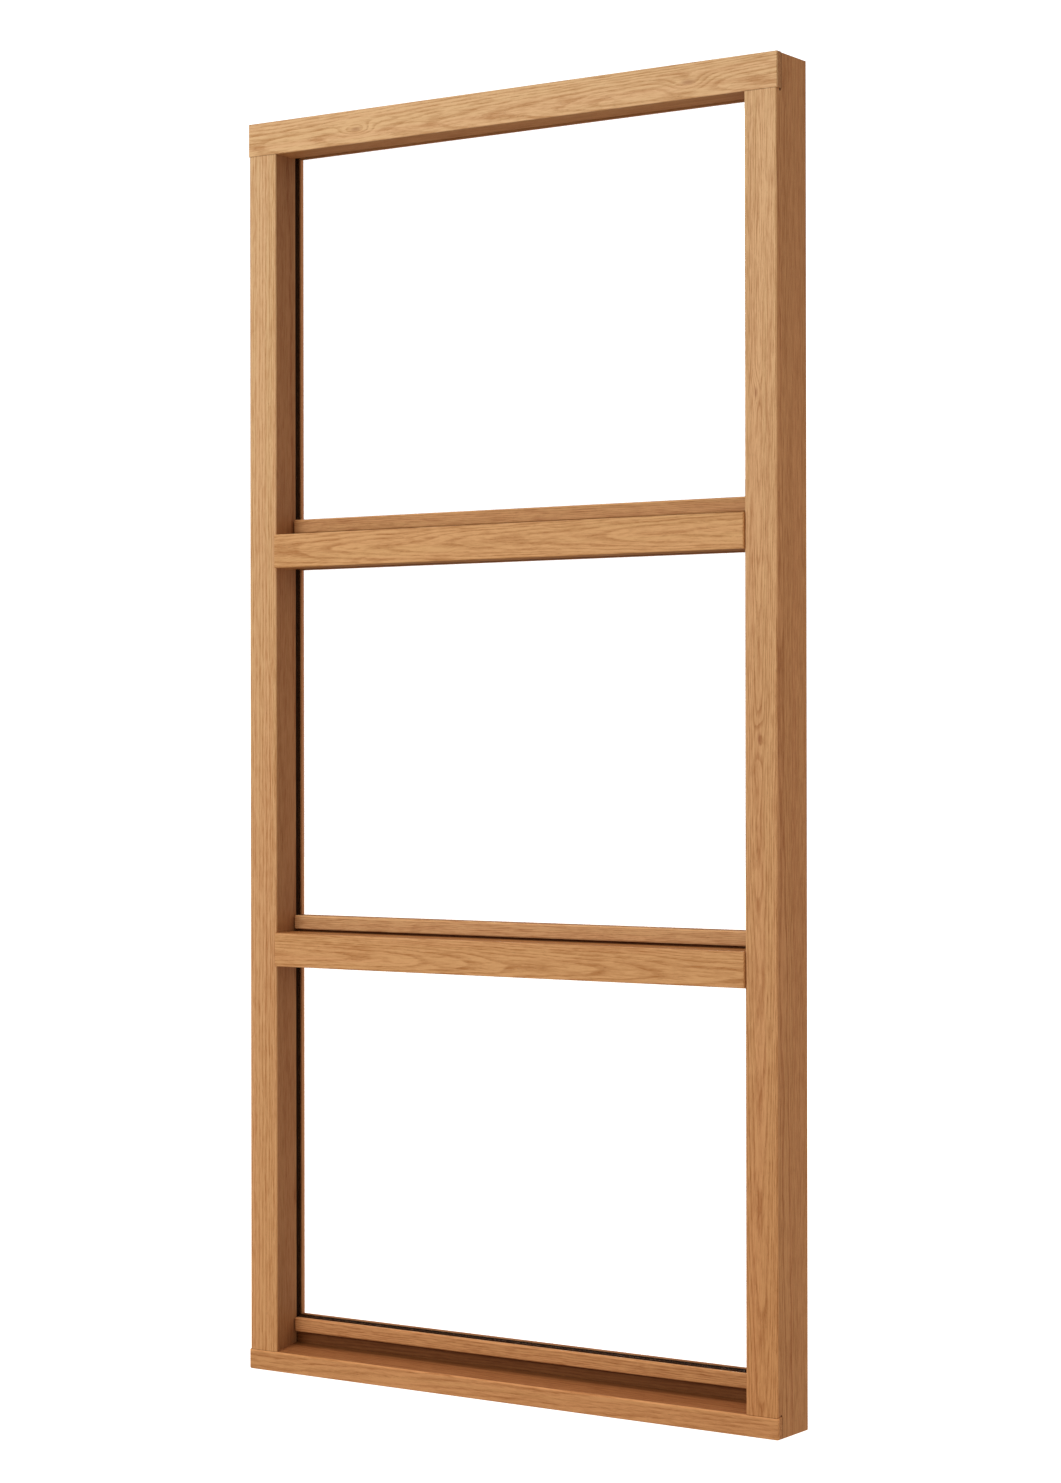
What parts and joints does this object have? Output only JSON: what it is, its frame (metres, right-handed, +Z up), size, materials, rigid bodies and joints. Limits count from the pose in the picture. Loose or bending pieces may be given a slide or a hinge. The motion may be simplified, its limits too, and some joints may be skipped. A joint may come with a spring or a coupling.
{
  "type": "fixed window",
  "caption": "Tall fixed timber window: an oiled oak frame with transoms, rounded weather beads and sealed clear panes held by mitred splayed beads indoors.",
  "frame": {"origin": "middle of the sill's flat underside, half way through the frame's depth", "axes": "+X along the sill to the right seen from outdoors, -Y outdoors, +Y indoors, +Z up"},
  "size_m": [1.024, 0.099, 2.1],
  "materials": {
    "oak_frame": "satin",
    "oak_beads": "satin",
    "glass": "clear polished",
    "gasket_black": "matte",
    "spacer_black": "matte"
  },
  "bodies": {
    "root": {"head": "oak_frame", "left_jamb": "oak_frame", "lower_bead_bottom": "oak_beads", "lower_bead_left": "oak_beads", "lower_bead_right": "oak_beads", "lower_bead_top": "oak_beads", "lower_inner_glass": "glass", "lower_inner_tape": "gasket_black", "lower_outer_gasket": "gasket_black", "lower_outer_glass": "glass", "lower_spacer_frame": "spacer_black", "lower_transom": "oak_frame", "lower_weather_bead": "oak_beads", "middle_bead_bottom": "oak_beads", "middle_bead_left": "oak_beads", "middle_bead_right": "oak_beads", "middle_bead_top": "oak_beads", "middle_inner_glass": "glass", "middle_inner_tape": "gasket_black", "middle_outer_gasket": "gasket_black", "middle_outer_glass": "glass", "middle_spacer_frame": "spacer_black", "middle_weather_bead": "oak_beads", "right_jamb": "oak_frame", "sill": "oak_frame", "upper_bead_bottom": "oak_beads", "upper_bead_left": "oak_beads", "upper_bead_right": "oak_beads", "upper_bead_top": "oak_beads", "upper_inner_glass": "glass", "upper_inner_tape": "gasket_black", "upper_outer_gasket": "gasket_black", "upper_outer_glass": "glass", "upper_spacer_frame": "spacer_black", "upper_transom": "oak_frame", "upper_weather_bead": "oak_beads"}
  },
  "joints": []
}
